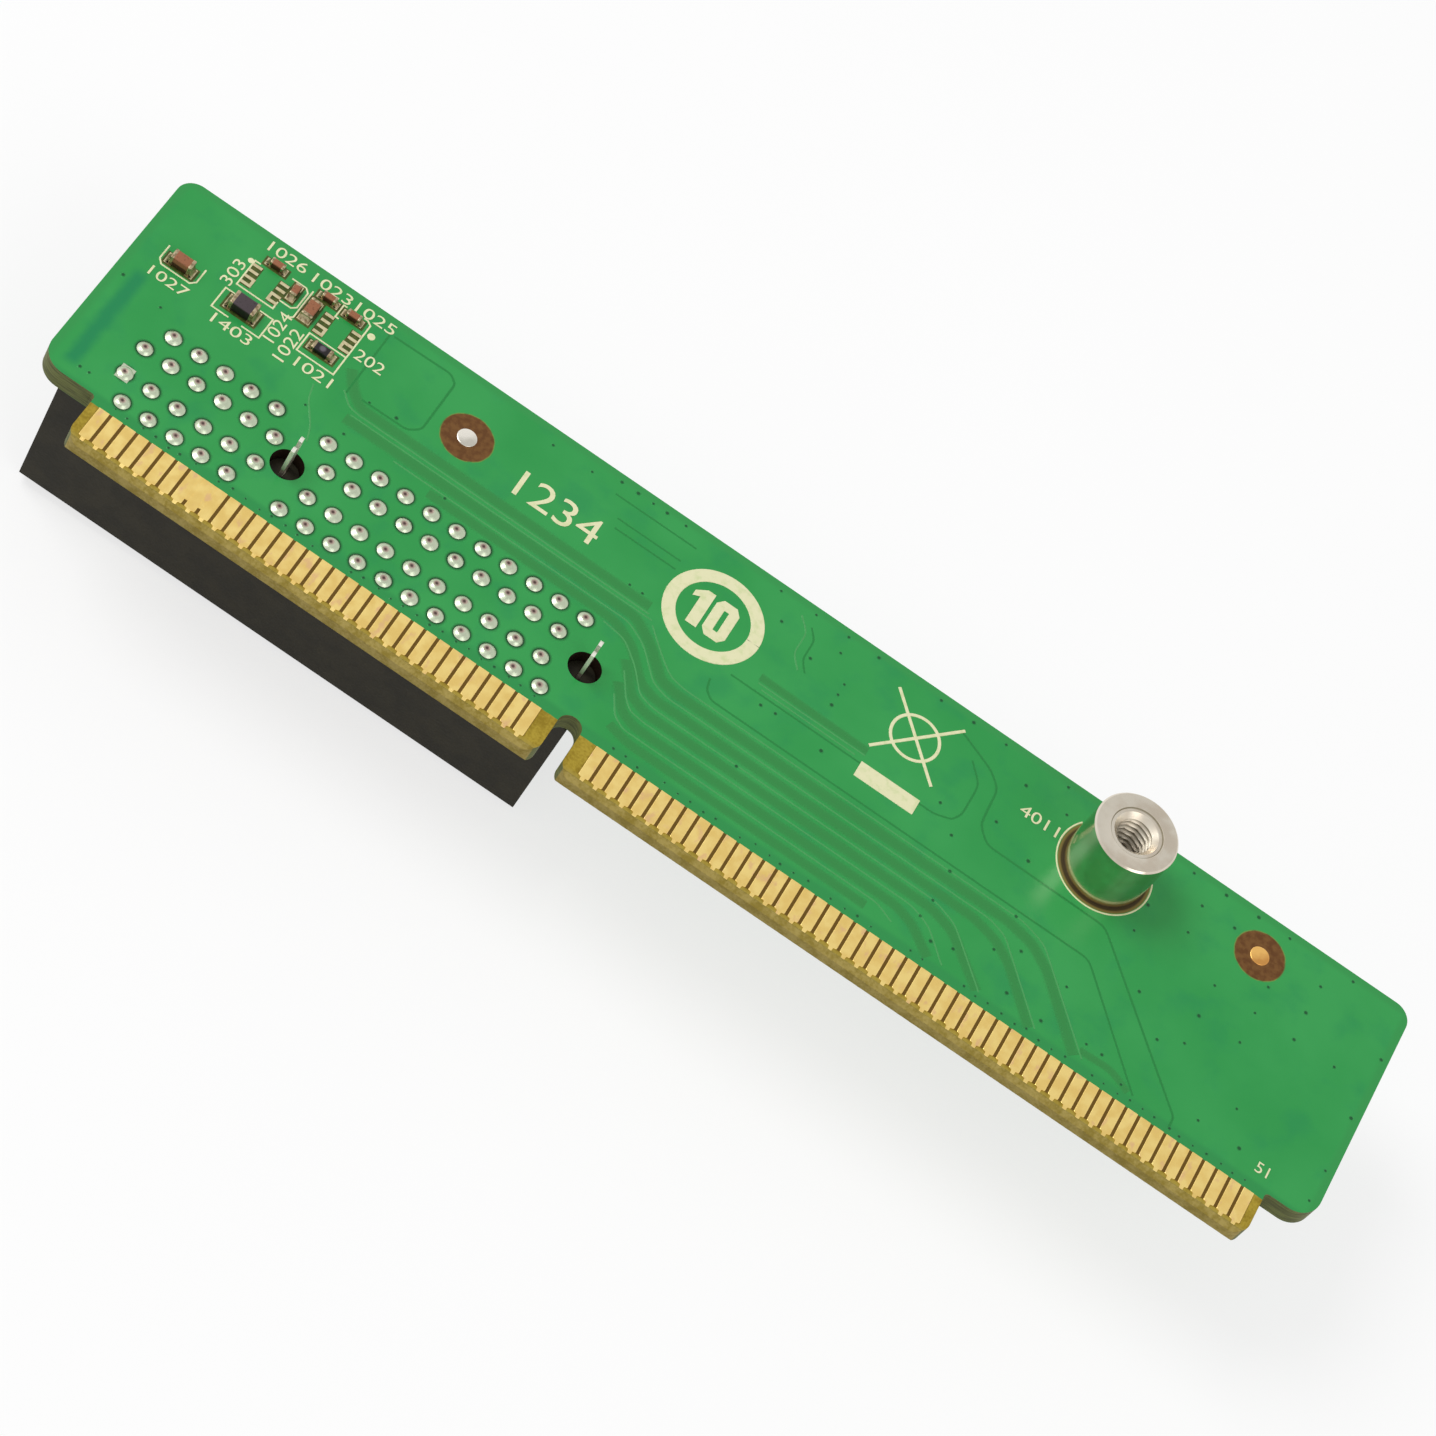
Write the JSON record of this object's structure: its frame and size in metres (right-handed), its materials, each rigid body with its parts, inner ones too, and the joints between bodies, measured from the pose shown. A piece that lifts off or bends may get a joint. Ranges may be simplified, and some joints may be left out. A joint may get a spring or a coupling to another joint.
{
  "type": "pcie riser card",
  "caption": "Narrow green riser card: gold edge tongue with a key notch, a black card slot on its front face and a threaded standoff on its back.",
  "frame": {"origin": "under the middle of the card's outline, in the plane of the slot's mating face", "axes": "+X along the board from the slot's end to the plain end, +Y across the board away from the gold edge, +Z out of the board's back face, the side with the standoff"},
  "size_m": [0.098, 0.0228, 0.0179],
  "materials": {
    "circuit_board": "satin",
    "gold_plating": "satin",
    "slot_housing": "matte",
    "slot_contacts": "gloss",
    "solder": "satin",
    "lock_steel": "gloss",
    "standoff": "polished",
    "capacitor_ceramic": "satin",
    "ferrite": "satin",
    "resistor_glaze": "gloss",
    "chip_ends": "satin",
    "tinned_copper": "satin",
    "bare_copper": "satin"
  },
  "bodies": {
    "root": {"board_lock_1": "lock_steel", "board_lock_2": "lock_steel", "capacitor_1": "capacitor_ceramic", "capacitor_1_ends": "chip_ends", "capacitor_2": "capacitor_ceramic", "capacitor_2_ends": "chip_ends", "capacitor_3": "capacitor_ceramic", "capacitor_3_ends": "chip_ends", "capacitor_4": "capacitor_ceramic", "capacitor_4_ends": "chip_ends", "capacitor_5": "capacitor_ceramic", "capacitor_5_ends": "chip_ends", "capacitor_6": "capacitor_ceramic", "capacitor_6_ends": "chip_ends", "chip_lands": "tinned_copper", "circuit_board": "circuit_board", "edge_fingers_back_long": "gold_plating", "edge_fingers_back_short": "gold_plating", "edge_fingers_front_long": "gold_plating", "edge_fingers_front_short": "gold_plating", "ferrite_bead": "ferrite", "ferrite_bead_ends": "chip_ends", "fiducial_1": "tinned_copper", "fiducial_2": "bare_copper", "ic_pads_1": "tinned_copper", "ic_pads_2": "tinned_copper", "resistor": "resistor_glaze", "resistor_ends": "chip_ends", "slot_contacts_row_1": "slot_contacts", "slot_contacts_row_2": "slot_contacts", "slot_contacts_row_3": "slot_contacts", "slot_contacts_row_4": "slot_contacts", "slot_housing": "slot_housing", "solder_joints_row_1": "solder", "solder_joints_row_2": "solder", "solder_joints_row_3": "solder", "solder_joints_row_4": "solder", "standoff": "standoff"}
  },
  "joints": []
}
